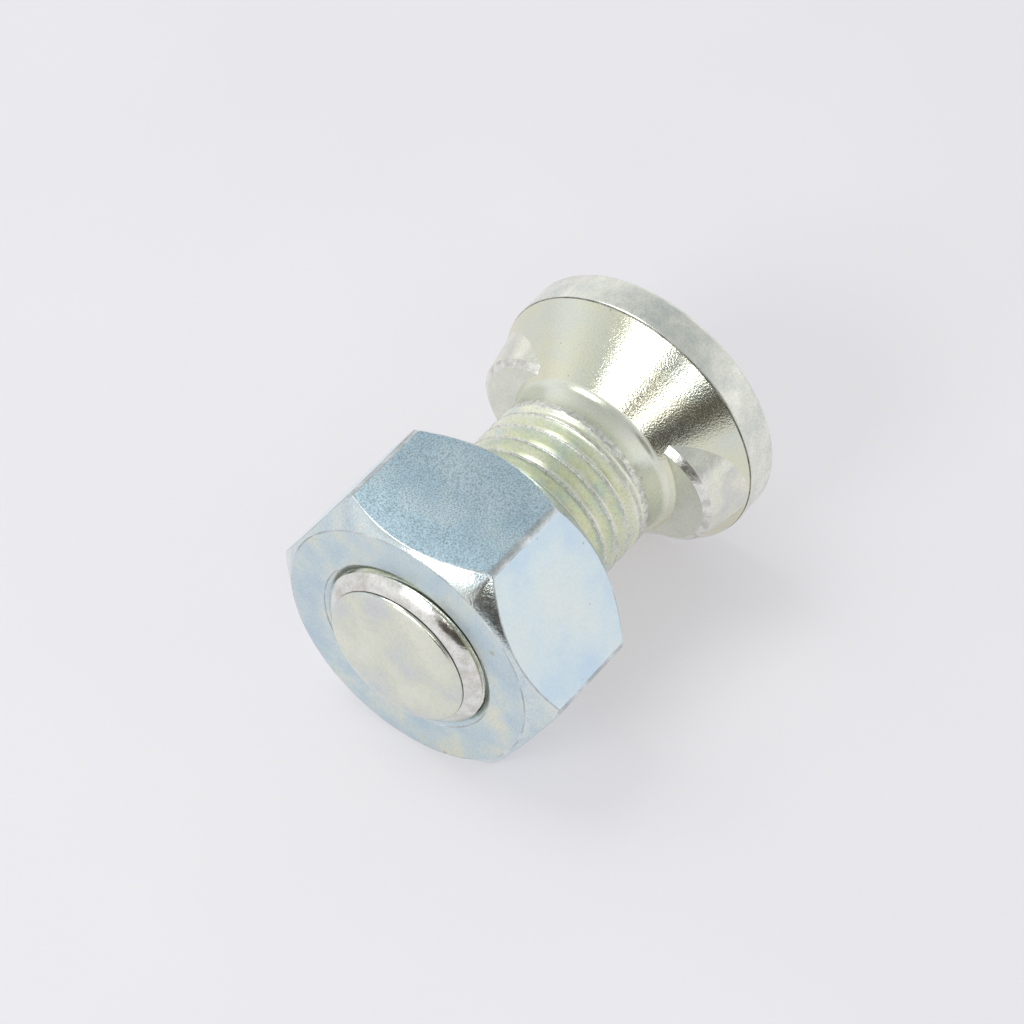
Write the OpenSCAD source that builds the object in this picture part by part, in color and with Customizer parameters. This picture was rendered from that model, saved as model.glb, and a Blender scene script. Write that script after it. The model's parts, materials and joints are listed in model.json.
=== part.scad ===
// Plow bolt: flat countersunk head with two nibs, threaded shank and hexagon nut.
// It lies as it comes to rest, on one flat of the nut and on the rim of the head.
// The axis of the bolt runs along X and rises a little towards the head.
// The shank is drawn at the outer diameter of its thread.

/* [Thread] */
// Outer diameter of the thread
thread_d = 13.95; // [12.5:0.05:15]
// Distance from one thread turn to the next
thread_pitch = 1.5; // [1:0.25:2]

/* [Bolt] */
// Length over all, from the tip to the flat of the head
bolt_len = 32.9; // [32:0.1:55]
// Height of the rounded crown at the tip
crown_h = 0.85; // [0.3:0.05:1.5]
// Length of the tapered lead behind the crown
lead_len = 1.2; // [0.6:0.1:2.5]
// Radius of the hollow fillet between shank and cone
neck_fillet_r = 0.9; // [0.6:0.1:2.5]

/* [Head] */
// Diameter of the head
head_d = 23.0; // [22.6:0.1:29]
// Width of the straight band round the head
rim_w = 3.15; // [1.5:0.05:4]
// Angle of the cone under the head, side to side
cone_angle = 86; // [80:1:104]
// Radius on the outer edge of the head
head_edge_r = 0.4; // [0.2:0.1:1.2]

/* [Nibs] */
// Width of a nib at its front face
nib_w = 10.4; // [8:0.2:11]
// Distance from the axis to the centre of each nib's rounded end
nib_round_x = 5.3; // [4.6:0.1:5.7]
// Depth of the nibs from the rim to their front faces
nib_depth = 4.25; // [2.8:0.05:4.8]
// Width of the slope round the front face of each nib
nib_edge = 0.45; // [0.2:0.05:0.9]
// Turn of the nibs about the axis, down from level
nib_turn = 5; // [0:1:45]

/* [Nut] */
// Width of the nut across its flats
nut_af = 22; // [20:0.5:22.5]
// Height of the nut
nut_h = 11.4; // [9:0.1:13.5]
// Diameter of the circle where the chamfer starts on each end face
nut_face_d = 21.35; // [18.5:0.05:21.6]
// Slope of the chamfer against the end face
nut_chamfer_deg = 43; // [20:1:50]
// Diameter of the countersink at each mouth of the bore
countersink_d = 15.4; // [14.6:0.1:16.5]
// How far the tip of the bolt stands out of the nut
tip_out = 1.9; // [0:0.05:6]

/* [Fit] */
// Running clearance between shank and bore, on the radius
bore_clear = 0.05; // [0.02:0.01:0.1]

/* [Hidden] */
$fn = 96;
plated_bolt = [0.80, 0.82, 0.73];
plated_nut = [0.73, 0.78, 0.85];
overlap = 0.5;
least_countersink = 0.2;
nib_inset = 0.1;

// Thread and tip: the crown is as wide as the core of the thread
thread_r = thread_d / 2;
core_depth = 0.6134 * thread_pitch;
crown_r = thread_r - core_depth;
crown_sphere_r = (crown_r * crown_r + crown_h * crown_h) / (2 * crown_h);
lead_end = crown_h + lead_len;

// Head, measured along the axis from the tip
head_r = head_d / 2;
rim_x = bolt_len - rim_w;
cone_half = cone_angle / 2;
cone_x = rim_x - (head_r - thread_r) / tan(cone_half);
fillet_reach = neck_fillet_r * tan(cone_half / 2);
nib_x = rim_x - nib_depth;
nib_end_r = nib_w / 2;
nib_rear_r = head_r - nib_round_x - nib_inset;

// Nut, measured along the axis from the tip
nut_x = tip_out;
nut_r = nut_af / 2;
nut_face_r = nut_face_d / 2;
nut_corner_r = nut_r / cos(30);
bore_r = thread_r + bore_clear;
chamfer_slope = tan(nut_chamfer_deg);
chamfer_reach = (nut_corner_r - nut_face_r + overlap) * chamfer_slope;
flat_start = (nut_r - nut_face_r) * chamfer_slope;
countersink_r = max(countersink_d / 2, bore_r + least_countersink);
countersink_depth = countersink_r - bore_r;

// Rest: the axis rises until the lower flat of the nut and the rim both touch the floor
rest_x = nut_x + flat_start;
tilt = atan((head_r - nut_r) / (rim_x - rest_x));
axis_z = nut_r * cos(tilt) - rest_x * sin(tilt);
tip_min_x = crown_sphere_r * (cos(tilt) - 1);
head_max_x = (bolt_len - head_edge_r) * cos(tilt) + (head_r - head_edge_r) * sin(tilt) + head_edge_r;
mid_x = (tip_min_x + head_max_x) / 2;

// Lays children, drawn with their axis on X and the tip at zero, down at rest
module at_rest() {
  translate([-mid_x, 0, axis_z])
    rotate([0, -tilt, 0])
      children();
}

// Turns a shape drawn upwards along Z so that it runs along X
module along_x(start) {
  translate([start, 0, 0])
    rotate([0, 90, 0])
      children();
}

// Crown of the tip, as a slice of a ball
module crown_profile() {
  intersection() {
    translate([0, crown_sphere_r]) circle(r = crown_sphere_r);
    square([crown_r, crown_h]);
  }
}

// Tapered lead, shank, cone and rim, with radius across and axis upwards
module bolt_profile() {
  edge_x = bolt_len - head_edge_r;
  polygon([
    [0, crown_h],
    [crown_r, crown_h],
    [thread_r, lead_end],
    [thread_r, cone_x],
    [head_r, rim_x],
    [head_r, edge_x],
    [head_r - head_edge_r, bolt_len],
    [0, bolt_len]
  ]);
  translate([head_r - head_edge_r, edge_x])
    circle(r = head_edge_r);
}

// Hollow fillet where the shank runs out into the cone
module neck_fillet_profile() {
  fillet_x = cone_x - fillet_reach;
  difference() {
    polygon([
      [thread_r - overlap, fillet_x],
      [thread_r, fillet_x],
      [thread_r + fillet_reach * sin(cone_half), cone_x + fillet_reach * cos(cone_half)],
      [thread_r - overlap, cone_x + fillet_reach * cos(cone_half)]
    ]);
    translate([thread_r + neck_fillet_r, fillet_x])
      circle(r = neck_fillet_r);
  }
}

// Half of the nib block's section: sloped front edge, then a flare out to the rim
module nib_profile() {
  polygon([
    [0, 0],
    [nib_end_r - nib_edge, 0],
    [nib_end_r, nib_edge],
    [nib_rear_r, nib_depth],
    [0, nib_depth]
  ]);
}

// One block that runs through the head and leaves a nib on either side
module nib_block() {
  for (side = [-1, 1])
    translate([side * nib_round_x, 0, 0])
      rotate_extrude() nib_profile();
  translate([-nib_round_x, 0, 0])
    rotate([90, 0, 90])
      linear_extrude(height = 2 * nib_round_x) {
        nib_profile();
        mirror([1, 0]) nib_profile();
      }
}

module plow_bolt() {
  color(plated_bolt)
    at_rest() {
      along_x(0)
        rotate_extrude() {
          crown_profile();
          bolt_profile();
          neck_fillet_profile();
        }
      along_x(nib_x)
        rotate([0, 0, 90 + nib_turn])
          nib_block();
    }
}

// Envelope that chamfers the corners at both ends, with radius across and axis upwards
module chamfer_profile() {
  wide_r = nut_corner_r + overlap;
  polygon([
    [0, 0],
    [nut_face_r, 0],
    [wide_r, chamfer_reach],
    [wide_r, nut_h - chamfer_reach],
    [nut_face_r, nut_h],
    [0, nut_h]
  ]);
}

// Hexagon with its corners chamfered at both ends
module nut_blank() {
  intersection() {
    rotate([0, 0, 30])
      cylinder(r = nut_corner_r, h = nut_h, $fn = 6);
    rotate_extrude() chamfer_profile();
  }
}

// Bore with a countersink at both mouths
module nut_bore() {
  translate([0, 0, -overlap])
    cylinder(r = bore_r, h = nut_h + 2 * overlap);
  for (up = [0, 1])
    translate([0, 0, up * nut_h])
      mirror([0, 0, up])
        translate([0, 0, -overlap])
          cylinder(
            r1 = countersink_r + overlap,
            r2 = bore_r,
            h = countersink_depth + overlap
          );
}

module hex_nut() {
  color(plated_nut)
    at_rest()
      along_x(nut_x)
        difference() {
          nut_blank();
          nut_bore();
        }
}

plow_bolt();
hex_nut();
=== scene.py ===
"""Plow bolt with its hexagon nut, dressed in bright zinc and lit on a pale floor."""

import json
import logging
import math
from collections.abc import Callable, Iterable, Sequence
from dataclasses import dataclass
from enum import Enum

import bmesh
import bpy
from bmesh.types import BMEdge, BMesh, BMFace, BMVert
from bpy.types import Material, Node, NodeSocket, NodeTree, Object, World
from mathutils import Matrix, Vector


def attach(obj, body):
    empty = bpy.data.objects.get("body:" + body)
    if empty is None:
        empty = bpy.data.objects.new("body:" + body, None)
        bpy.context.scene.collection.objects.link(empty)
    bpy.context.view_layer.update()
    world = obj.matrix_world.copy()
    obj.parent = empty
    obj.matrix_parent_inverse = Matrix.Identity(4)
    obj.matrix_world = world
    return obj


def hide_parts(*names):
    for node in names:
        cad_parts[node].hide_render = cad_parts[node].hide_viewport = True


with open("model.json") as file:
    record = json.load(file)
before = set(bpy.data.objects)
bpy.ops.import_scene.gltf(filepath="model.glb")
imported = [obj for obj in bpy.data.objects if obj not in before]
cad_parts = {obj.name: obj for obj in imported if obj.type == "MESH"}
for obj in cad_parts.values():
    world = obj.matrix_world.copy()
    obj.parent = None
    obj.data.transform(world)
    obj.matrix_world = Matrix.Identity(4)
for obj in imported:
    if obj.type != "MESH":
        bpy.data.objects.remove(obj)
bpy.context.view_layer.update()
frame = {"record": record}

MM = 0.001
FULL_TURN = 2.0 * math.pi
AXIS = (1.0, 0.0, 0.0)
CENTRE = (0.0, 0.0, 0.0)
LAMP_TARGET = (0.0, 0.0, 12.0 * MM)

# Distances within which points are one and a point is on a ring, and the gap that a bridge closes
MERGE_DISTANCE = 0.0005 * MM
NEAR = 0.001 * MM
JOIN_GAP = 0.02 * MM

# Sockets of a Mix node set to colours, which share their names with its other kinds
MIX_FACTOR, MIX_A, MIX_B, MIX_RESULT = 0, 6, 7, 2

LOG = logging.getLogger("plow_bolt")

Point = tuple[float, float]
Triple = tuple[float, float, float]
Colour = Triple

# What an input of a node takes
Feed = float | Sequence[float] | NodeSocket


# Node helpers


@dataclass(frozen=True)
class NodeSheet:
    """Nodes of a material or of the world.

    Attributes:
        tree: Node tree that takes them.
        place: Coordinates that the patterns read.
    """

    tree: NodeTree
    place: NodeSocket

    @classmethod
    def of(cls, owner: Material | World, coordinates: str) -> "NodeSheet":
        """Turns the nodes of a material or world on.

        Args:
            owner: Material or world.
            coordinates: Name of the coordinates that its patterns read.

        Returns:
            The sheet of its nodes.
        """
        owner.use_nodes = True
        tree = owner.node_tree
        return cls(tree, tree.nodes.new("ShaderNodeTexCoord").outputs[coordinates])

    def feed(self, node: Node, inputs: dict[str | int, Feed]) -> None:
        """Gives inputs of a node their values, or links them to sockets.

        Args:
            node: Node of this sheet.
            inputs: Value or socket for each input that is set.
        """
        for name, value in inputs.items():
            if isinstance(value, NodeSocket):
                self.tree.links.new(value, node.inputs[name])
            else:
                node.inputs[name].default_value = value

    def add(self, kind: str, inputs: dict[str | int, Feed]) -> Node:
        """Adds a node.

        Args:
            kind: Kind of node.
            inputs: Value or socket for each input that is set.

        Returns:
            The new node.
        """
        node = self.tree.nodes.new(kind)
        self.feed(node, inputs)
        return node

    def noise(self, size: float, detail: float) -> NodeSocket:
        """Adds a noise with grains of a size in metres, and gives its value."""
        inputs = {"Vector": self.place, "Scale": 1.0 / size, "Detail": detail}
        return self.add("ShaderNodeTexNoise", inputs).outputs["Fac"]

    def ramp(
        self,
        value: NodeSocket,
        positions: Sequence[float],
        colours: Sequence[Colour],
    ) -> NodeSocket:
        """Adds a ramp of colours.

        Args:
            value: Value that the ramp reads.
            positions: Values at which the colours stand.
            colours: Colours from the lowest value to the highest.

        Returns:
            The colour at the value.
        """
        node = self.add("ShaderNodeValToRGB", {"Fac": value})
        stops = node.color_ramp.elements
        while len(stops) < len(colours):
            stops.new(0.5)
        for stop, position, colour in zip(stops, positions, colours):
            stop.position = position
            stop.color = (*colour, 1.0)
        return node.outputs["Color"]

    def mix(self, share: Feed, first: Feed, second: Feed, blend: str = "MIX") -> NodeSocket:
        """Adds a mix of two colours.

        Args:
            share: Share of the second colour.
            first: First colour.
            second: Second colour.
            blend: How the second goes on the first.

        Returns:
            The mixed colour.
        """
        node = self.tree.nodes.new("ShaderNodeMix")
        node.data_type = "RGBA"
        node.blend_type = blend
        self.feed(node, {MIX_FACTOR: share, MIX_A: first, MIX_B: second})
        return node.outputs[MIX_RESULT]

    def span(
        self,
        value: NodeSocket,
        source: Point,
        target: Point,
        blend: str = "LINEAR",
    ) -> NodeSocket:
        """Carries a value over from one span to another.

        Args:
            value: Value that is carried over.
            source: Ends of the span that it comes from.
            target: Ends of the span that it goes to and stays in.
            blend: How it goes from end to end.

        Returns:
            The new value.
        """
        (low, high), (bottom, top) = source, target
        inputs = {"Value": value, "From Min": low, "From Max": high, "To Min": bottom, "To Max": top}
        node = self.add("ShaderNodeMapRange", inputs)
        node.interpolation_type = blend
        return node.outputs["Result"]

    def join(self, operation: str, first: Feed, second: Feed) -> NodeSocket:
        """Joins two values.

        Args:
            operation: Name of the operation.
            first: First value.
            second: Second value.

        Returns:
            The result.
        """
        node = self.add("ShaderNodeMath", {0: first, 1: second})
        node.operation = operation
        return node.outputs["Value"]


# Finishes


# Values of the noise at which one tone gives way to the next
TONE_STOPS = (0.34, 0.5, 0.66)

# Values of the noise below which a speck is full and above which the metal is clear
SPECK_STOPS = (0.36, 0.56)
SPECK_COLOUR = (0.35, 0.36, 0.36)
CLEAR = (1.0, 1.0, 1.0)

# Values of the noise from the brightest gloss to the dullest, and its size in grains
GLOSS_STOPS = (0.3, 0.7)
GLOSS_GRAINS = 3.0

# Radii of a pit at its rim and at its full depth of colour, as shares of the spacing
PIT_RIM, PIT_HEART = 0.16, 0.06


@dataclass(frozen=True)
class ZincFinish:
    """One state of the bright zinc: its tones, gloss, grain, speckle and pits.

    Attributes:
        name: Name of the material.
        tones: Colours of the cloudy patches, from the first to the last.
        patch: Size of a cloudy patch, in metres.
        roughness: Lowest and highest roughness.
        grain: Size of the fine bumps, in metres.
        grain_height: Height of the fine bumps, in metres.
        speckle: Size of the fine speckle, in metres.
        speckle_depth: How much the speckle darkens the tones.
        pit: Spacing of the places where a pit may be, in metres.
        pit_share: Share of those places that hold one.
        pit_colour: Colour of a pit.
    """

    name: str
    tones: tuple[Colour, Colour, Colour]
    patch: float
    roughness: Point
    grain: float
    grain_height: float
    speckle: float
    speckle_depth: float
    pit: float = 0.8 * MM
    pit_share: float = 0.04
    pit_colour: Colour = (0.50, 0.50, 0.47)

    def material(self) -> Material:
        """Builds the node material.

        Returns:
            The new material.
        """
        made = bpy.data.materials.new(self.name)
        sheet = NodeSheet.of(made, "Object")
        sheet.feed(sheet.tree.nodes["Principled BSDF"], {
            "Metallic": 1.0,
            "Base Color": self._colour(sheet),
            "Roughness": self._gloss(sheet),
            "Normal": self._bumps(sheet),
        })
        return made

    def _colour(self, sheet: NodeSheet) -> NodeSocket:
        """Clouds the three tones together and scatters specks and pits on them.

        Args:
            sheet: Nodes of the material.

        Returns:
            The colour.
        """
        tone = sheet.ramp(sheet.noise(self.patch, detail=5.0), TONE_STOPS, self.tones)
        dots = sheet.noise(self.speckle, detail=2.0)
        specks = sheet.ramp(dots, SPECK_STOPS, (SPECK_COLOUR, CLEAR))
        speckled = sheet.mix(self.speckle_depth, tone, specks, "MULTIPLY")
        return sheet.mix(self._pits(sheet), speckled, (*self.pit_colour, 1.0))

    def _pits(self, sheet: NodeSheet) -> NodeSocket:
        """Marks a few small pits, scattered at random places.

        Args:
            sheet: Nodes of the material.

        Returns:
            One inside a pit, zero outside.
        """
        cells = sheet.add("ShaderNodeTexVoronoi", {"Vector": sheet.place, "Scale": 1.0 / self.pit})
        spot = sheet.span(cells.outputs["Distance"], (PIT_RIM, PIT_HEART), (0.0, 1.0))
        parts = sheet.add("ShaderNodeSeparateColor", {"Color": cells.outputs["Color"]})
        chosen = sheet.join("LESS_THAN", parts.outputs["Red"], self.pit_share)
        return sheet.join("MULTIPLY", spot, chosen)

    def _gloss(self, sheet: NodeSheet) -> NodeSocket:
        """Lets the gloss come and go over the surface, and gives the roughness."""
        patches = sheet.noise(self.grain * GLOSS_GRAINS, detail=3.0)
        return sheet.span(patches, GLOSS_STOPS, self.roughness)

    def _bumps(self, sheet: NodeSheet) -> NodeSocket:
        """Raises the fine grain of the plating.

        Args:
            sheet: Nodes of the material.

        Returns:
            The normal.
        """
        height = sheet.noise(self.grain, detail=4.0)
        inputs = {"Height": height, "Strength": 1.0, "Distance": self.grain_height}
        return sheet.add("ShaderNodeBump", inputs).outputs["Normal"]


class BoltFinish(Enum):
    """States of the greenish zinc on the bolt, one for each kind of surface.

    A state gives name and tones, then patch, roughness, grain, grain_height, speckle and
    speckle_depth.
    """

    CROWN = ZincFinish(
        "bolt_crown_zinc",
        ((0.67, 0.71, 0.72), (0.76, 0.78, 0.67), (0.83, 0.84, 0.72)),
        4.0 * MM, (0.16, 0.26), 0.40 * MM, 0.010 * MM, 0.25 * MM, 0.08,
    )
    LEAD = ZincFinish(
        "bolt_lead_zinc",
        ((0.68, 0.66, 0.60), (0.80, 0.80, 0.75), (0.88, 0.88, 0.85)),
        1.0 * MM, (0.10, 0.18), 0.25 * MM, 0.008 * MM, 0.15 * MM, 0.18,
    )
    GROOVE = ZincFinish(
        "thread_groove_zinc",
        ((0.82, 0.89, 0.82), (0.92, 0.94, 0.75), (0.96, 0.97, 0.86)),
        2.0 * MM, (0.28, 0.40), 0.20 * MM, 0.008 * MM, 0.18 * MM, 0.20,
    )
    CREST = ZincFinish(
        "thread_crest_zinc",
        ((0.64, 0.65, 0.58), (0.80, 0.81, 0.73), (0.92, 0.92, 0.85)),
        0.4 * MM, (0.22, 0.42), 0.15 * MM, 0.010 * MM, 0.12 * MM, 0.40,
    )
    NECK = ZincFinish(
        "neck_zinc",
        ((0.78, 0.82, 0.73), (0.83, 0.85, 0.71), (0.88, 0.88, 0.79)),
        4.0 * MM, (0.22, 0.32), 0.40 * MM, 0.004 * MM, 0.20 * MM, 0.06,
    )
    CONE = ZincFinish(
        "seat_cone_zinc",
        ((0.74, 0.78, 0.69), (0.79, 0.80, 0.63), (0.84, 0.82, 0.65)),
        4.5 * MM, (0.10, 0.17), 0.15 * MM, 0.016 * MM, 0.15 * MM, 0.08,
    )
    # Dark tones painted into the crease behind the rim and the notch behind the crown, as painted
    # shade
    PAINTED_CREASE_SHADE = ZincFinish(
        "crease_painted_shade",
        ((0.16, 0.16, 0.14), (0.26, 0.26, 0.23), (0.42, 0.42, 0.38)),
        0.8 * MM, (0.40, 0.55), 0.20 * MM, 0.010 * MM, 0.15 * MM, 0.30,
    )
    RIM = ZincFinish(
        "rim_zinc",
        ((0.76, 0.79, 0.74), (0.84, 0.86, 0.77), (0.94, 0.93, 0.86)),
        1.4 * MM, (0.22, 0.36), 0.22 * MM, 0.014 * MM, 0.18 * MM, 0.16,
    )
    NIB_FACE = ZincFinish(
        "nib_face_zinc",
        ((0.76, 0.78, 0.70), (0.82, 0.84, 0.74), (0.87, 0.88, 0.79)),
        2.5 * MM, (0.28, 0.40), 0.30 * MM, 0.008 * MM, 0.20 * MM, 0.12,
    )
    NIB_SIDE = ZincFinish(
        "nib_side_zinc",
        ((0.74, 0.75, 0.71), (0.83, 0.84, 0.73), (0.90, 0.90, 0.79)),
        2.0 * MM, (0.16, 0.28), 0.30 * MM, 0.008 * MM, 0.18 * MM, 0.12,
    )
    NIB_EDGE = ZincFinish(
        "nib_edge_zinc",
        ((0.66, 0.65, 0.60), (0.82, 0.82, 0.76), (0.93, 0.93, 0.89)),
        0.8 * MM, (0.14, 0.26), 0.20 * MM, 0.010 * MM, 0.15 * MM, 0.20,
    )
    HEAD_FACE = ZincFinish(
        "head_face_zinc",
        ((0.76, 0.79, 0.73), (0.81, 0.83, 0.74), (0.86, 0.87, 0.79)),
        3.0 * MM, (0.22, 0.34), 0.40 * MM, 0.010 * MM, 0.20 * MM, 0.14,
    )


class NutFinish(Enum):
    """States of the bluish zinc on the nut, in the same order, two with pits of their own."""

    # Real grain on the flats that face up and down, with darker tones painted on as shade
    GRAINY_SHADED_FLAT = ZincFinish(
        "nut_grainy_shaded_flat_zinc",
        ((0.47, 0.62, 0.70), (0.52, 0.67, 0.74), (0.58, 0.71, 0.76)),
        2.6 * MM, (0.40, 0.52), 0.14 * MM, 0.020 * MM, 0.12 * MM, 0.60,
    )
    SMOOTH_FLAT = ZincFinish(
        "nut_smooth_flat_zinc",
        ((0.69, 0.85, 0.96), (0.79, 0.92, 0.95), (0.86, 0.94, 0.92)),
        5.0 * MM, (0.30, 0.42), 0.40 * MM, 0.006 * MM, 0.20 * MM, 0.06,
        0.9 * MM, 0.10, (0.55, 0.58, 0.56),
    )
    FACE = ZincFinish(
        "nut_face_zinc",
        ((0.57, 0.69, 0.76), (0.66, 0.76, 0.77), (0.81, 0.82, 0.70)),
        3.6 * MM, (0.28, 0.40), 0.35 * MM, 0.006 * MM, 0.20 * MM, 0.12,
        2.4 * MM, 0.80, (0.50, 0.44, 0.32),
    )
    CHAMFER = ZincFinish(
        "nut_chamfer_zinc",
        ((0.63, 0.74, 0.79), (0.70, 0.80, 0.81), (0.78, 0.84, 0.80)),
        1.8 * MM, (0.12, 0.20), 0.16 * MM, 0.011 * MM, 0.15 * MM, 0.18,
    )
    EDGE = ZincFinish(
        "nut_edge_zinc",
        ((0.44, 0.48, 0.47), (0.60, 0.65, 0.66), (0.84, 0.88, 0.88)),
        2.0 * MM, (0.18, 0.32), 0.25 * MM, 0.008 * MM, 0.20 * MM, 0.22,
    )
    BORE = ZincFinish(
        "nut_thread_zinc",
        ((0.46, 0.54, 0.60), (0.58, 0.64, 0.68), (0.68, 0.72, 0.74)),
        1.5 * MM, (0.22, 0.32), 0.30 * MM, 0.006 * MM, 0.20 * MM, 0.25,
    )


# Mesh helpers


def radius_of(co: Vector) -> float:
    """Gives the distance of a point from the X axis."""
    return math.hypot(co.y, co.z)


def set_radius(vert: BMVert, radius: float) -> None:
    """Moves a vertex straight out from the X axis, or in, to a radius.

    Args:
        vert: Vertex off the axis.
        radius: Its new distance from the axis.
    """
    share = radius / radius_of(vert.co)
    vert.co.y *= share
    vert.co.z *= share


def spin_profile(
    bm: BMesh,
    profile: Sequence[Point],
    steps: int,
    advance: float = 0.0,
) -> list[BMVert]:
    """Turns a line once round the X axis, as on a lathe or along a screw.

    Args:
        bm: Mesh that takes the surface.
        profile: Points as (distance along the axis, radius).
        steps: Steps of the full turn.
        advance: Distance that the line moves along the axis in the turn.

    Returns:
        The vertices of the surface.
    """
    before = set(bm.verts)
    verts = [bm.verts.new((along, 0.0, radius)) for along, radius in profile]
    edges = [bm.edges.new(pair) for pair in zip(verts, verts[1:])]
    bmesh.ops.spin(
        bm,
        geom=verts + edges,
        cent=CENTRE,
        axis=AXIS,
        dvec=(advance / steps, 0.0, 0.0),
        angle=FULL_TURN,
        steps=steps,
        use_merge=not advance,
    )
    made = [vert for vert in bm.verts if vert not in before]
    bmesh.ops.remove_doubles(bm, verts=made, dist=MERGE_DISTANCE)
    return [vert for vert in bm.verts if vert not in before]


def cut_off(bm: BMesh, along: float, towards: float) -> None:
    """Cuts everything off beyond a plane across the axis.

    Args:
        bm: Mesh that is cut.
        along: Place of the plane on the axis.
        towards: 1 to cut off what lies further along the axis, -1 for what lies before.
    """
    bmesh.ops.bisect_plane(
        bm,
        geom=[*bm.verts, *bm.edges, *bm.faces],
        dist=MERGE_DISTANCE,
        plane_co=(along, 0.0, 0.0),
        plane_no=(towards, 0.0, 0.0),
        clear_outer=True,
    )


def open_loop(bm: BMesh, along: float) -> list[BMEdge]:
    """Finds the open edges in one plane across the axis.

    Args:
        bm: Mesh that is searched.
        along: Place of the plane on the axis.

    Returns:
        The edges of the open loop or loops there.
    """
    near = JOIN_GAP / 2.0
    return [
        edge for edge in bm.edges
        if edge.is_boundary and all(abs(vert.co.x - along) < near for vert in edge.verts)
    ]


def arc(centre: Point, radius: float, start: float, end: float, steps: int) -> list[Point]:
    """Gives points on an arc of a profile.

    Args:
        centre: Centre as (distance along the axis, radius).
        radius: Radius of the arc.
        start: First angle, in degrees from the axis.
        end: Last angle, in degrees from the axis.
        steps: Steps from the first point to the last.

    Returns:
        The points, both ends among them.
    """
    angles = [math.radians(start + (end - start) * step / steps) for step in range(steps + 1)]
    return [
        (centre[0] + radius * math.cos(angle), centre[1] + radius * math.sin(angle))
        for angle in angles
    ]


def bend(start: Point, corner: Point, end: Point, steps: int) -> list[Point]:
    """Gives points on a soft bend of a profile.

    Args:
        start: First point.
        corner: Point that the bend leans towards.
        end: Last point.
        steps: Steps from the first point to the last.

    Returns:
        The points, without the first.
    """
    points = []
    for step in range(1, steps + 1):
        t = step / steps
        near, middle, far = (1.0 - t) ** 2, 2.0 * t * (1.0 - t), t * t
        points.append((
            near * start[0] + middle * corner[0] + far * end[0],
            near * start[1] + middle * corner[1] + far * end[1],
        ))
    return points


def soften(
    bm: BMesh,
    edges: Sequence[BMEdge],
    offset: float,
    segments: int,
    clamp: bool = True,
) -> set[BMFace]:
    """Rounds or breaks edges.

    Args:
        bm: Mesh that holds the edges.
        edges: Edges that are taken off.
        offset: How far the new faces reach on either side.
        segments: Faces across an edge.
        clamp: Whether the offset gives way where edges are close.

    Returns:
        The new faces.
    """
    return set(bmesh.ops.bevel(
        bm,
        geom=edges,
        offset=offset,
        offset_type="OFFSET",
        segments=segments,
        profile=0.5,
        affect="EDGES",
        material=-1,
        clamp_overlap=clamp,
    )["faces"])


def finish_mesh(
    bm: BMesh,
    name: str,
    place: Matrix,
    finishes: type[Enum],
    finish_of: Callable[[BMFace], Enum],
    crease: float = 32.0,
) -> Object:
    """Dresses a mesh, lays it at rest and makes an object of it.

    Args:
        bm: Mesh along the X axis; it is used up.
        name: Name of the object.
        place: Where the bolt lies.
        finishes: Finishes of the piece, in the order of its material slots.
        finish_of: Gives a face its finish.
        crease: Angle above which an edge stays sharp, in degrees.

    Returns:
        The object, at the origin.
    """
    bmesh.ops.recalc_face_normals(bm, faces=bm.faces)
    order = {finish: index for index, finish in enumerate(finishes)}
    for face in bm.faces:
        face.smooth = True
        face.material_index = order[finish_of(face)]
    for edge in bm.edges:
        edge.smooth = len(edge.link_faces) == 2 and edge.calc_face_angle() < math.radians(crease)
    bmesh.ops.transform(bm, matrix=place, verts=bm.verts)
    mesh = bpy.data.meshes.new(name)
    bm.to_mesh(mesh)
    bm.free()
    for finish in finishes:
        mesh.materials.append(finish.value.material())
    piece = bpy.data.objects.new(name, mesh)
    bpy.context.scene.collection.objects.link(piece)
    return piece


# The object


@dataclass(frozen=True)
class RestPlace:
    """Where the bolt lies: its axis and the middle of its head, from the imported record."""

    head_face: Vector
    axis: Vector

    @classmethod
    def from_record(cls, record: dict) -> "RestPlace":
        """Reads the place of the head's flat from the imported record."""
        mount = next(m for m in record["mounts"] if m["name"] == "head_face")
        return cls(Vector(mount["pos_m"]), Vector(mount["axis"]).normalized())

    def matrix(self, length: float) -> Matrix:
        """Gives the move from the bolt's own axis, tip at zero, to where it lies.

        Args:
            length: Length from the tip to the head's flat.

        Returns:
            The matrix of the move.
        """
        side = Vector((0.0, 1.0, 0.0))
        turn = Matrix((self.axis, side, self.axis.cross(side))).transposed()
        return Matrix.Translation(self.head_face - self.axis * length) @ turn.to_4x4()


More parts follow.
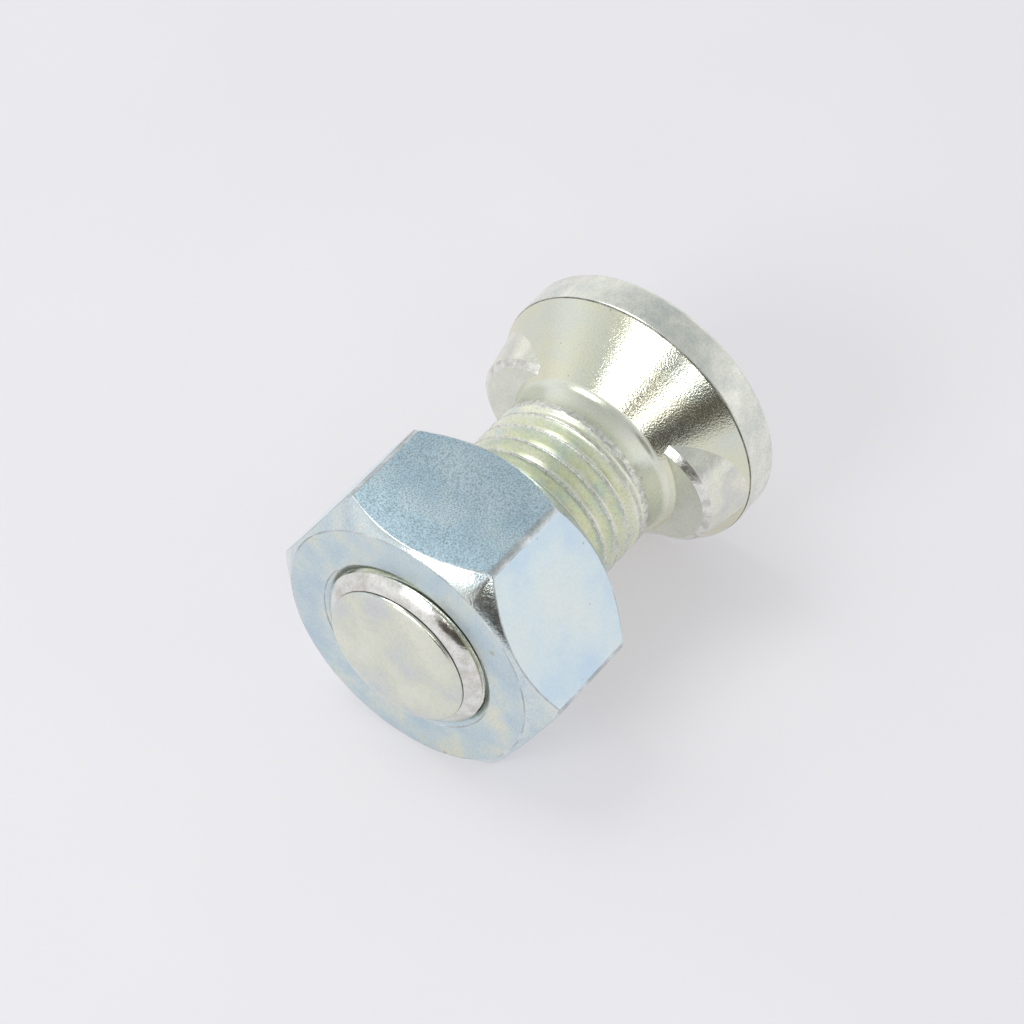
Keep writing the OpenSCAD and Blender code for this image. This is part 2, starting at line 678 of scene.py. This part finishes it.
@dataclass(frozen=True)
class ThreadForm:
    """Rolled right-hand thread: one tooth, wound along the axis.

    Attributes:
        pitch: Distance from one turn to the next.
        outer_r: Radius over the crests.
        depth: Depth from crest to root.
        phase: Place of one crest, measured from the tip.
        half_tooth: Half a tooth as (share of the pitch, share of the depth), from crest to root.
        steps: Steps round one turn.
    """

    pitch: float = 1.5 * MM
    outer_r: float = 6.975 * MM
    depth: float = 0.92 * MM
    phase: float = 0.343 * MM
    half_tooth: tuple[Point, ...] = (
        (0.0, 0.045), (0.035, 0.0), (0.07, 0.0), (0.095, 0.05), (0.20, 0.40), (0.31, 0.77),
        (0.37, 0.91), (0.43, 0.98), (0.50, 1.0),
    )
    steps: int = 144

    def wind(
        self,
        bm: BMesh,
        start: float,
        end: float,
        limit: Callable[[float, float], float],
    ) -> None:
        """Winds the thread between two planes across the axis.

        Args:
            bm: Empty mesh that takes the thread.
            start: First plane.
            end: Last plane.
            limit: Gives a radius from a place along the axis and the thread's own radius there.
        """
        first = math.floor((start - self.phase) / self.pitch) - 1
        last = math.ceil((end - self.phase) / self.pitch)
        other_half = [(1.0 - share, deep) for share, deep in self.half_tooth[-2:0:-1]]
        profile = [
            (self.phase + (turn + share) * self.pitch, self.outer_r - deep * self.depth)
            for turn in range(first, last + 1)
            for share, deep in (*self.half_tooth, *other_half)
        ]
        for vert in spin_profile(bm, profile, self.steps, self.pitch):
            set_radius(vert, limit(vert.co.x, radius_of(vert.co)))
        cut_off(bm, start, -1.0)
        cut_off(bm, end, 1.0)


# Crease between cone and rim as (share along the axis, share inwards), and where its painted shade
# ends
CREASE_END = 0.8
CREASE_FORM = ((-0.3, 1.5), (CREASE_END, 0.4), (2.5, 0.0))

# Share of a nib's bevel, along the axis, up to which its faces are the broken edge
NIB_EDGE_SHARE = 0.6


@dataclass
class PlowBolt:
    """Bolt with a domed tip, threaded shank, countersunk head and two nibs.

    Attributes:
        thread: Thread of the shank.
        length: Length from the tip to the head's flat.
        crown_h: Height of the crown on the tip.
        crown_r: Radius of the crown.
        crown_edge: Width of the crown's rounded edge.
        crown_lean: Place of the corner that this edge leans towards, in heights of the dome.
        dome_h: Height of the dome inside this edge.
        notch: Depth and width of the notch behind the crown.
        lead_len: Length of the smooth first turn, notch included.
        lead_flare: How far the first turn stands above the crests.
        lead_bulge: How much it bulges: a half is straight, one is a corner.
        runout_start: Place where the grooves begin to fade.
        runout_end: Place where they are gone.
        land_end: Place where the land behind the thread ends.
        land_step: Length of the step down to the neck.
        neck_r: Radius of the neck.
        neck_reach: How far the neck's finish reaches up the cone.
        fillet_r: Radius between neck and cone.
        head_r: Radius of the head.
        rim_w: Width of the rim.
        rim_crease: Size of the crease between cone and rim.
        cone_half: Angle between cone and axis, in degrees.
        edge_r: Radius of the head's outer edge.
        face_skin: Depth up to which the outer edge looks like the head's flat.
        nib_w: Width of the nibs' front faces.
        nib_round: Distance of the centre of a nib's rounding from the axis.
        nib_depth: Distance of the front faces from the rim.
        nib_inset: How far the nibs stay inside the rim.
        nib_turn: Turn of the nibs round the axis, in degrees.
        nib_bevel: Width of the broken edge round the front faces.
        nib_skin: Depth up to which a nib looks like its front face.
        nib_segments: Steps round both nibs.
        crest_depth: Depth up to which the thread looks like its crest.
    """

    thread: ThreadForm
    length: float = 32.9 * MM
    crown_h: float = 0.82 * MM
    crown_r: float = 5.95 * MM
    crown_edge: float = 1.25 * MM
    crown_lean: float = 1.3
    dome_h: float = 0.32 * MM
    notch: float = 0.12 * MM
    lead_len: float = 0.93 * MM
    lead_flare: float = 0.03 * MM
    lead_bulge: float = 0.6
    runout_start: float = 20.9 * MM
    runout_end: float = 22.2 * MM
    land_end: float = 22.8 * MM
    land_step: float = 0.12 * MM
    neck_r: float = 6.91 * MM
    neck_reach: float = 0.4 * MM
    fillet_r: float = 1.1 * MM
    head_r: float = 11.5 * MM
    rim_w: float = 3.15 * MM
    rim_crease: float = 0.08 * MM
    cone_half: float = 43.0
    edge_r: float = 0.4 * MM
    face_skin: float = 0.02 * MM
    nib_w: float = 10.4 * MM
    nib_round: float = 5.3 * MM
    nib_depth: float = 4.25 * MM
    nib_inset: float = 0.1 * MM
    nib_turn: float = 5.0
    nib_bevel: float = 0.45 * MM
    nib_skin: float = 0.05 * MM
    nib_segments: int = 96
    crest_depth: float = 0.035 * MM

    @property
    def lead_end(self) -> float:
        """Place where the smooth first turn gives way to the thread."""
        return self.crown_h + self.lead_len

    @property
    def rim_start(self) -> float:
        """Place of the crease between cone and rim."""
        return self.length - self.rim_w

    @property
    def cone_start(self) -> float:
        """Place where the cone, run on, would meet the neck."""
        reach = (self.head_r - self.neck_r) / math.tan(math.radians(self.cone_half))
        return self.rim_start - reach

    @property
    def nib_start(self) -> float:
        """Place of the nibs' front faces."""
        return self.rim_start - self.nib_depth

    def build(self, place: RestPlace) -> Object:
        """Builds the bolt and lays it down.

        Args:
            place: Where the bolt lies.

        Returns:
            The finished bolt.
        """
        bm = bmesh.new()
        thread_start = self.lead_end + JOIN_GAP
        self.thread.wind(bm, thread_start, self.runout_end, self._limit)
        spin_profile(bm, self._tip_profile(), self.thread.steps)
        spin_profile(bm, self._head_profile(), self.thread.steps)
        for near, far in (
            (self.lead_end, thread_start),
            (self.runout_end, self.runout_end + JOIN_GAP),
        ):
            loops = open_loop(bm, near) + open_loop(bm, far)
            bmesh.ops.bridge_loops(bm, edges=loops)
        nib_faces = self._add_nibs(bm)

        def finish_of(face: BMFace) -> BoltFinish:
            """Gives a face its finish."""
            return self._finish_of(face, face in nib_faces)

        piece = finish_mesh(bm, "plow_bolt_zinc", place.matrix(self.length), BoltFinish, finish_of)
        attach(piece, "bolt")
        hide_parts("plow_bolt")
        return piece

    def _limit(self, along: float, radius: float) -> float:
        """Lets the thread run out before the neck.

        Args:
            along: Place along the axis.
            radius: Radius of the full thread there.

        Returns:
            The radius that is left.
        """
        outer = self.thread.outer_r
        gone = (along - self.runout_start) / (self.runout_end - self.runout_start)
        return outer - (outer - radius) * (1.0 - min(max(gone, 0.0), 1.0))

    def _tip_profile(self) -> list[Point]:
        """Draws the domed crown, its rounded edge, the notch and the smooth first turn.

        Returns:
            Points as (distance along the axis, radius).
        """
        inner = self.crown_r - self.crown_edge
        ball_r = (inner**2 + self.dome_h**2) / (2.0 * self.dome_h)
        rings = 10
        dome = []
        for ring in range(rings + 1):
            radius = inner * ring / rings
            dome.append((ball_r - math.sqrt(ball_r**2 - radius**2), radius))
        front = (self.crown_lean * self.dome_h, self.crown_r)
        edge = bend(dome[-1], front, (self.crown_h, self.crown_r), steps=10)
        notch = [
            (self.crown_h + self.notch / 2.0, self.crown_r - self.notch),
            (self.crown_h + self.notch, self.crown_r),
        ]
        full_r = self.thread.outer_r + self.lead_flare
        lead_start, lead_r = notch[-1]
        bulge = (
            self.lead_end - (self.lead_end - lead_start) * self.lead_bulge,
            lead_r + (full_r - lead_r) * self.lead_bulge,
        )
        lead = bend(notch[-1], bulge, (self.lead_end, full_r), steps=8)
        return dome + edge + notch + lead

    def _head_profile(self) -> list[Point]:
        """Draws neck, fillet, cone, rim and flat from the shank to the axis.

        Returns:
            Points as (distance along the axis, radius).
        """
        half = math.radians(self.cone_half)
        reach = self.fillet_r * math.tan(half / 2.0)
        fillet_centre = (self.cone_start - reach, self.neck_r + self.fillet_r)
        crease = self.rim_crease
        edge_centre = (self.length - self.edge_r, self.head_r - self.edge_r)
        return [
            (self.runout_end + JOIN_GAP, self.thread.outer_r),
            (self.land_end, self.thread.outer_r),
            (self.land_end + self.land_step, self.neck_r),
            *arc(fillet_centre, self.fillet_r, -90.0, -90.0 + self.cone_half, steps=8),
            (self.rim_start - crease, self.head_r - crease * math.tan(half)),
            *((self.rim_start + on * crease, self.head_r - down * crease) for on, down in CREASE_FORM),
            *arc(edge_centre, self.edge_r, 90.0, 0.0, steps=6),
            (self.length, self.head_r / 2.0),
            (self.length, 0.0),
        ]

    def _add_nibs(self, bm: BMesh) -> set[BMFace]:
        """Adds the block that runs through the head and leaves a nib on either side.

        Args:
            bm: Mesh of the bolt.

        Returns:
            The faces of the block.
        """
        before = set(bm.faces)
        front_r = self.nib_w / 2.0
        rear_r = self.head_r - self.nib_round - self.nib_inset
        half_step = FULL_TURN / self.nib_segments / 2.0
        upright = Matrix.Rotation(math.radians(90.0), 4, "Y") @ Matrix.Rotation(half_step, 4, "Z")
        ring = bmesh.ops.create_circle(
            bm, cap_ends=True, radius=front_r, segments=self.nib_segments, matrix=upright
        )["verts"]
        cap = next(face for face in bm.faces if face not in before)
        front_edges = list(cap.edges)
        rear = bmesh.ops.extrude_face_region(bm, geom=[cap])["geom"]
        rear_verts = [item for item in rear if isinstance(item, BMVert)]
        bmesh.ops.scale(bm, vec=(1.0, rear_r / front_r, rear_r / front_r), verts=rear_verts)
        bmesh.ops.translate(bm, vec=(self.nib_depth, 0.0, 0.0), verts=rear_verts)
        block = list(ring) + rear_verts
        for vert in block:
            vert.co.y += math.copysign(self.nib_round, vert.co.y)
        bmesh.ops.translate(bm, vec=(self.nib_start, 0.0, 0.0), verts=block)
        bmesh.ops.rotate(
            bm,
            cent=CENTRE,
            matrix=Matrix.Rotation(math.radians(self.nib_turn), 3, "X"),
            verts=block,
        )
        soften(bm, front_edges, self.nib_bevel, segments=1, clamp=False)
        return {face for face in bm.faces if face not in before}

    def _finish_of(self, face: BMFace, is_nib: bool) -> BoltFinish:
        """Chooses the finish of a face by where it lies.

        Args:
            face: Face of the mesh along the X axis.
            is_nib: Whether it belongs to the nib block.

        Returns:
            The finish.
        """
        middle = face.calc_center_median()
        along, radius = middle.x, radius_of(middle)
        if is_nib:
            if along < self.nib_start + self.nib_skin:
                return BoltFinish.NIB_FACE
            sloped = along < self.nib_start + NIB_EDGE_SHARE * self.nib_bevel
            return BoltFinish.NIB_EDGE if sloped else BoltFinish.NIB_SIDE
        if along < self.crown_h:
            return BoltFinish.CROWN
        # The notch behind the crown is painted dark, as painted shade
        if along < self.crown_h + self.notch:
            return BoltFinish.PAINTED_CREASE_SHADE
        if along < self.lead_end:
            return BoltFinish.LEAD
        if along < self.land_end:
            deep = self.thread.outer_r - radius
            return BoltFinish.CREST if deep < self.crest_depth else BoltFinish.GROOVE
        if along < self.cone_start + self.neck_reach:
            return BoltFinish.NECK
        if along < self.rim_start - self.rim_crease:
            return BoltFinish.CONE
        # The crease between cone and rim is painted dark, as painted shade
        if along < self.rim_start + CREASE_END * self.rim_crease:
            return BoltFinish.PAINTED_CREASE_SHADE
        if along < self.length - self.face_skin:
            return BoltFinish.RIM
        return BoltFinish.HEAD_FACE


# How much a face of the nut looks along the axis to be an end face or a chamfer, how much it
# looks up or down to be grainy and painted darker as shade, and how far it turns away from a flat to
# be a rounded corner
FACE_LEAN = 0.95
CHAMFER_LEAN = 0.25
GRAINY_SHADE_LEAN = 0.9
CORNER_TURN = math.radians(5.0)

# Angle that one flat takes up
SIXTH = FULL_TURN / 6.0


@dataclass
class HexNut:
    """Hexagon nut, chamfered at both ends, with its thread and countersinks.

    Attributes:
        thread: Thread of the bolt that it fits.
        start: Place of its outer end face, measured from the bolt's tip.
        height: Height between the end faces.
        flat_r: Distance of the flats from the axis.
        face_r: Radius of the end faces.
        chamfer: Angle between chamfer and end face, in degrees.
        mouth_r: Radius of the countersinks at the end faces.
        mouth_end_r: Radius of the countersinks at their ends.
        mouth_slope: Loss of radius for each unit of depth in a countersink.
        minor_r: Radius inside the flattened crests.
        clearance: Gap between the two threads.
        lead_in: Length over which the thread fades in behind a countersink.
        edge_bevel: Width of the broken edges round the ends.
        corner_bevel: Width of the rounding between the flats.
        sides: Steps round the nut.
    """

    thread: ThreadForm
    start: float = 1.9 * MM
    height: float = 11.4 * MM
    flat_r: float = 11.0 * MM
    face_r: float = 10.675 * MM
    chamfer: float = 43.0
    mouth_r: float = 7.55 * MM
    mouth_end_r: float = 7.11 * MM
    mouth_slope: float = 1.6
    minor_r: float = 6.19 * MM
    clearance: float = 0.08 * MM
    lead_in: float = 1.25 * MM
    edge_bevel: float = 0.12 * MM
    corner_bevel: float = 0.35 * MM
    sides: int = 144

    @property
    def mouth_depth(self) -> float:
        """Depth of the countersinks."""
        return (self.mouth_r - self.mouth_end_r) / self.mouth_slope

    def build(self, place: RestPlace, length: float) -> Object:
        """Builds the nut and puts it on the bolt.

        Args:
            place: Where the bolt lies.
            length: Length of the bolt.

        Returns:
            The finished nut.
        """
        bm = bmesh.new()
        first = self.start + self.mouth_depth
        last = self.start + self.height - self.mouth_depth
        self.thread.wind(bm, first + JOIN_GAP, last - JOIN_GAP, self._limit)
        edges = self._add_body(bm)
        for near, far in ((first, first + JOIN_GAP), (last, last - JOIN_GAP)):
            bmesh.ops.bridge_loops(bm, edges=open_loop(bm, near) + open_loop(bm, far))

        def finish_of(face: BMFace) -> NutFinish:
            """Gives a face its finish."""
            return NutFinish.EDGE if face in edges else self._finish_of(face)

        piece = finish_mesh(bm, "hex_nut_zinc", place.matrix(length), NutFinish, finish_of)
        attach(piece, "nut")
        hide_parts("hex_nut")
        return piece

    def _limit(self, along: float, radius: float) -> float:
        """Flattens the inner crests and lets the thread fade towards both countersinks.

        Args:
            along: Place along the axis.
            radius: Radius of the bolt's thread there.

        Returns:
            The radius of the bore.
        """
        outer = self.thread.outer_r + self.clearance
        full = max(radius + self.clearance, self.minor_r)
        inside = min(along - self.start, self.start + self.height - along) - self.mouth_depth
        return outer - (outer - full) * min(max(inside / self.lead_in, 0.0), 1.0)

    @staticmethod
    def _off_flat(co: Vector) -> float:
        """Gives the angle round the axis from the nearest flat's middle, with flats up and down."""
        return (math.atan2(co.y, co.z) + SIXTH / 2.0) % SIXTH - SIXTH / 2.0

    def _add_body(self, bm: BMesh) -> set[BMFace]:
        """Adds the outer shape: countersinks, end faces, chamfers and six flats.

        Args:
            bm: Mesh of the nut.

        Returns:
            The faces of the softened edges.
        """
        end = self.start + self.height
        slope = math.tan(math.radians(self.chamfer))
        corner = self.flat_r / math.cos(SIXTH / 2.0)
        body = spin_profile(
            bm,
            [
                (self.start + self.mouth_depth, self.mouth_end_r),
                (self.start, self.mouth_r),
                (self.start, self.face_r),
                (self.start + MM, corner),
                (end - MM, corner),
                (end, self.face_r),
                (end, self.mouth_r),
                (end - self.mouth_depth, self.mouth_end_r),
            ],
            self.sides,
        )

        # The rings at the corners' radius move to where the flats meet the chamfers
        for vert in [vert for vert in body if radius_of(vert.co) > self.flat_r]:
            radius = self.flat_r / math.cos(self._off_flat(vert.co))
            fall = (radius - self.face_r) * slope
            first_end = vert.co.x < self.start + self.height / 2.0
            vert.co.x = self.start + fall if first_end else end - fall
            set_radius(vert, radius)
        soften(bm, self._corner_edges(bm, corner), self.corner_bevel, segments=3)
        return soften(bm, self._end_edges(bm), self.edge_bevel, segments=2)

    def _corner_edges(self, bm: BMesh, corner: float) -> list[BMEdge]:
        """Finds the six edges between the flats.

        Args:
            bm: Mesh of the nut.
            corner: Radius of the corners.

        Returns:
            The edges along the axis.
        """
        return [
            edge for edge in bm.edges
            if min(radius_of(vert.co) for vert in edge.verts) > corner - NEAR
        ]

    def _end_edges(self, bm: BMesh) -> list[BMEdge]:
        """Finds the edges round the countersinks, the end faces and the chamfers.

        Args:
            bm: Mesh of the nut.

        Returns:
            The edges across the axis.
        """
        found = []
        for edge in bm.edges:
            first, second = (radius_of(vert.co) for vert in edge.verts)
            along = abs(edge.verts[0].co.x - edge.verts[1].co.x) > self.height / 2.0
            on_ring = any(
                abs(first - ring) + abs(second - ring) < NEAR for ring in (self.face_r, self.mouth_r)
            )
            on_outline = min(first, second) > self.flat_r - NEAR
            if not along and (on_ring or on_outline):
                found.append(edge)
        return found

    def _finish_of(self, face: BMFace) -> NutFinish:
        """Chooses the finish of a face by where it lies and how it faces.

        Args:
            face: Face of the mesh along the X axis.

        Returns:
            The finish.
        """
        middle = face.calc_center_median()
        radius = radius_of(middle)
        if radius < self.thread.outer_r + self.clearance:
            return NutFinish.BORE
        lean = abs(face.normal.x)
        if radius < self.mouth_r or lean > FACE_LEAN:
            return NutFinish.FACE
        if lean > CHAMFER_LEAN:
            return NutFinish.CHAMFER
        if abs(self._off_flat(face.normal)) > CORNER_TURN:
            return NutFinish.EDGE
        # Flats facing up or down get the grain and the painted darker shade
        grainy_shaded = abs(face.normal.z) > GRAINY_SHADE_LEAN
        return NutFinish.GRAINY_SHADED_FLAT if grainy_shaded else NutFinish.SMOOTH_FLAT


# The studio


def direction(azimuth: float, elevation: float) -> Vector:
    """Gives a direction from the object.

    Args:
        azimuth: Degrees from the X axis, seen from above.
        elevation: Degrees above the floor.

    Returns:
        The direction, of length one.
    """
    round_z, up = math.radians(azimuth), math.radians(elevation)
    return Vector((
        math.cos(round_z) * math.cos(up),
        math.sin(round_z) * math.cos(up),
        math.sin(up),
    ))


@dataclass(frozen=True)
class DarkPatch:
    """Round dark place in the surroundings.

    Attributes:
        azimuth: Direction of its middle, in degrees from the X axis.
        elevation: Height of its middle, in degrees.
        inner: Angle from the middle up to which it is darkest, in degrees.
        outer: Angle at which it ends, in degrees.
        level: Share of the light that is left in its middle.
    """

    azimuth: float
    elevation: float
    inner: float
    outer: float
    level: float

    def share(self, sheet: NodeSheet) -> NodeSocket:
        """Adds nodes for the share of light that the patch leaves.

        Args:
            sheet: Nodes of the world.

        Returns:
            The patch's level inside, one outside.
        """
        middle = direction(self.azimuth, self.elevation)
        towards = sheet.add("ShaderNodeVectorMath", {0: sheet.place, 1: middle})
        towards.operation = "DOT_PRODUCT"
        ends = (math.cos(math.radians(self.outer)), math.cos(math.radians(self.inner)))
        return sheet.span(towards.outputs["Value"], ends, (1.0, self.level), "SMOOTHSTEP")


@dataclass(frozen=True)
class Sky:
    """Pale surroundings: bright round the horizon, greyer above, with dark patches.

    Attributes:
        ground: Light from below, beyond the floor.
        horizon: Light from the sides.
        overhead: Light from above.
        heights: Heights of these three, from zero straight down to one straight up.
        shade: Warm dark of the patches.
        patches: Dark places beside the lamps, which give the metal its dark bands.
    """

    ground: Colour = (0.82, 0.81, 0.83)
    horizon: Colour = (0.97, 0.965, 0.98)
    overhead: Colour = (0.52, 0.54, 0.55)
    heights: Triple = (0.44, 0.64, 0.90)
    shade: Colour = (0.075, 0.065, 0.055)
    patches: tuple[DarkPatch, ...] = (
        DarkPatch(-139.0, 8.0, 9.0, 19.0, 0.02),
        DarkPatch(-157.0, 14.0, 9.0, 13.0, 0.02),
        DarkPatch(-167.0, 38.0, 3.0, 9.0, 0.05),
        DarkPatch(-98.0, 27.0, 10.0, 22.0, 0.20),
    )

    def build(self) -> None:
        """Builds the world of the scene."""
        world = bpy.data.worlds.new("pale_studio")
        bpy.context.scene.world = world
        sheet = NodeSheet.of(world, "Generated")
        parts = sheet.add("ShaderNodeSeparateXYZ", {"Vector": sheet.place})
        height = sheet.span(parts.outputs["Z"], (-1.0, 1.0), (0.0, 1.0))
        light = sheet.ramp(height, self.heights, (self.ground, self.horizon, self.overhead))
        left = self.patches[0].share(sheet)
        for patch in self.patches[1:]:
            left = sheet.join("MULTIPLY", left, patch.share(sheet))
        shaded = sheet.mix(left, (*self.shade, 1.0), light)
        sheet.feed(sheet.tree.nodes["Background"], {"Color": shaded})


@dataclass(frozen=True)
class SoftLamp:
    """Soft rectangular lamp that faces the object.

    Attributes:
        name: Name of the lamp.
        azimuth: Direction from the object, in degrees from the X axis.
        elevation: Height above the floor, in degrees.
        distance: Distance from the object.
        size: Width and height.
        power: Power in watts.
    """

    name: str
    azimuth: float
    elevation: float
    distance: float
    size: Point
    power: float

    def build(self, target: Vector) -> Object:
        """Builds the lamp and turns it to the object.

        Args:
            target: Point that the lamp faces.

        Returns:
            The lamp.
        """
        light = bpy.data.lights.new(self.name, "AREA")
        light.shape = "RECTANGLE"
        light.size, light.size_y = self.size
        light.energy = self.power
        towards = direction(self.azimuth, self.elevation)
        lamp = bpy.data.objects.new(self.name, light)
        lamp.location = target + towards * self.distance
        lamp.rotation_euler = towards.to_track_quat("Z", "Y").to_euler()
        bpy.context.scene.collection.objects.link(lamp)
        return lamp


LAMPS = (
    SoftLamp("window_lamp", 172.5, 33.0, 0.45, (0.19, 0.17), 0.60),
    SoftLamp("side_lamp", -151.0, 28.0, 0.45, (0.06, 0.05), 0.06),
    SoftLamp("top_lamp", 100.0, 62.0, 0.60, (0.30, 0.30), 0.80),
)


@dataclass(frozen=True)
class PaleFloor:
    """Wide pale floor.

    Attributes:
        radius: Radius of the floor.
        segments: Steps round its edge.
        colour: Colour of the paper.
        shade: Colour of its faint clouds.
        cloud: Size of a cloud.
        cloud_stops: Values of the noise from full cloud to clear paper.
        roughness: Roughness of the paper.
        gloss: Specular level of the paper.
        own_light: Share of its colour that it gives by itself where it is seen.
    """

    radius: float = 1.2
    segments: int = 96
    colour: Colour = (0.85, 0.835, 0.86)
    shade: Colour = (0.83, 0.815, 0.845)
    cloud: float = 1.0 / 30.0
    cloud_stops: Point = (0.3, 0.7)
    roughness: float = 0.9
    gloss: float = 0.1
    own_light: float = 0.45

    def build(self) -> Object:
        """Builds the floor.

        Returns:
            The floor.
        """
        bm = bmesh.new()
        bmesh.ops.create_circle(bm, cap_ends=True, radius=self.radius, segments=self.segments)
        mesh = bpy.data.meshes.new("pale_floor")
        bm.to_mesh(mesh)
        bm.free()
        mesh.materials.append(self._material())
        floor = bpy.data.objects.new("pale_floor", mesh)
        bpy.context.scene.collection.objects.link(floor)
        return floor

    def _material(self) -> Material:
        """Builds a matte paper with faint clouds, partly lit by itself where it is seen.

        Returns:
            The new material.
        """
        made = bpy.data.materials.new("pale_paper")
        sheet = NodeSheet.of(made, "Object")
        clouds = sheet.noise(self.cloud, detail=2.0)
        paper = sheet.ramp(clouds, self.cloud_stops, (self.shade, self.colour))
        shader = sheet.tree.nodes["Principled BSDF"]
        sheet.feed(shader, {
            "Base Color": paper,
            "Roughness": self.roughness,
            "Specular IOR Level": self.gloss,
        })
        glow = sheet.add("ShaderNodeEmission", {"Color": paper})
        mix = sheet.add("ShaderNodeMixShader", {
            "Fac": sheet.span(self._seen(sheet), (0.0, 1.0), (0.0, self.own_light)),
            1: shader.outputs["BSDF"],
            2: glow.outputs["Emission"],
        })
        sheet.feed(sheet.tree.nodes["Material Output"], {"Surface": mix.outputs["Shader"]})
        return made

    @staticmethod
    def _seen(sheet: NodeSheet) -> NodeSocket:
        """Tells whether the camera sees the floor, straight or mirrored in metal.

        Args:
            sheet: Nodes of the material.

        Returns:
            One for such a ray, zero for the others.
        """
        rays = sheet.add("ShaderNodeLightPath", {})
        seen = rays.outputs["Is Camera Ray"]
        for kind in ("Is Glossy Ray", "Is Transmission Ray"):
            seen = sheet.join("MAXIMUM", seen, rays.outputs[kind])
        return seen


@dataclass(frozen=True)
class PhotoCamera:
    """Camera where the photograph was taken.

    Attributes:
        place: Where it stands.
        forward: Direction that it looks in.
        right: Direction to the right in its picture.
        focal_px: Focal length, in pixels.
        image_px: Width of the picture, in pixels.
        sensor: Width of the sensor, in millimetres.
        nearest: Distance from which things are seen.
    """

    place: Triple = (-162.92 * MM, -112.59 * MM, 235.61 * MM)
    forward: Triple = (0.5444, 0.3802, -0.7477)
    right: Triple = (0.591, -0.8064, 0.0202)
    focal_px: float = 4000.0
    image_px: float = 1024.0
    sensor: float = 36.0
    nearest: float = 10.0 * MM

    def build(self) -> Object:
        """Builds the camera and makes it the scene's own.

        Returns:
            The camera.
        """
        lens = bpy.data.cameras.new("photo_camera")
        lens.sensor_width = self.sensor
        lens.lens = self.focal_px / self.image_px * self.sensor
        lens.clip_start = self.nearest
        back = -Vector(self.forward).normalized()
        up = back.cross(Vector(self.right)).normalized()
        right = up.cross(back)
        turn = Matrix((right, up, back)).transposed()
        camera = bpy.data.objects.new("photo_camera", lens)
        camera.matrix_world = Matrix.Translation(self.place) @ turn.to_4x4()
        bpy.context.scene.collection.objects.link(camera)
        bpy.context.scene.camera = camera
        return camera


def report(pieces: Iterable[Object]) -> None:
    """Logs each piece with its number of faces."""
    for piece in pieces:
        LOG.info("%s: %d faces", piece.name, len(piece.data.polygons))


def main() -> None:
    """Builds the bolt, the nut and the studio."""
    logging.basicConfig(level=logging.INFO)
    bpy.context.scene.view_settings.view_transform = "Standard"
    place = RestPlace.from_record(frame["record"])
    thread = ThreadForm()
    bolt = PlowBolt(thread)
    nut = HexNut(thread)
    report([bolt.build(place), nut.build(place, bolt.length), PaleFloor().build()])
    Sky().build()
    for lamp in LAMPS:
        lamp.build(Vector(LAMP_TARGET))
    PhotoCamera().build()


if __name__ == "__main__":
    main()
